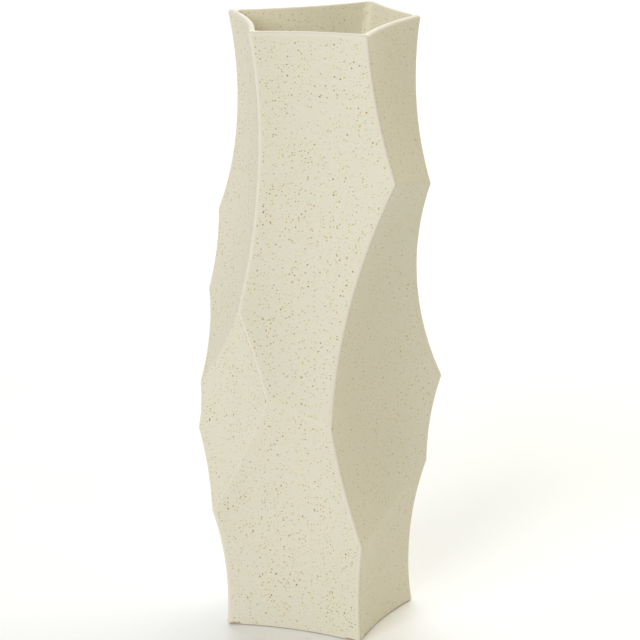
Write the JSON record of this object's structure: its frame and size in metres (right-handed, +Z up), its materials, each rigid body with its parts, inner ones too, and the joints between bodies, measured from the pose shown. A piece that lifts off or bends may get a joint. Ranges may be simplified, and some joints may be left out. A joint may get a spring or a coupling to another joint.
{
  "type": "stoneware vase",
  "caption": "Tall hollow stoneware vase with scooped facets meeting at rounded ridges, a cornered open mouth and a flat unglazed foot, for holding stems or standing empty.",
  "frame": {"origin": "middle of the vase's footprint box, on the surface the foot stands on", "axes": "+Z up through the mouth, +X to the right and +Y to the back as seen from the front"},
  "size_m": [0.1987, 0.1727, 0.5],
  "materials": {
    "bare_stoneware": "matte",
    "outer_glaze": "satin",
    "liner_glaze": "satin"
  },
  "bodies": {
    "root": {"stoneware_body": "bare_stoneware", "outer_glaze": "outer_glaze", "liner_glaze": "liner_glaze"}
  },
  "joints": []
}
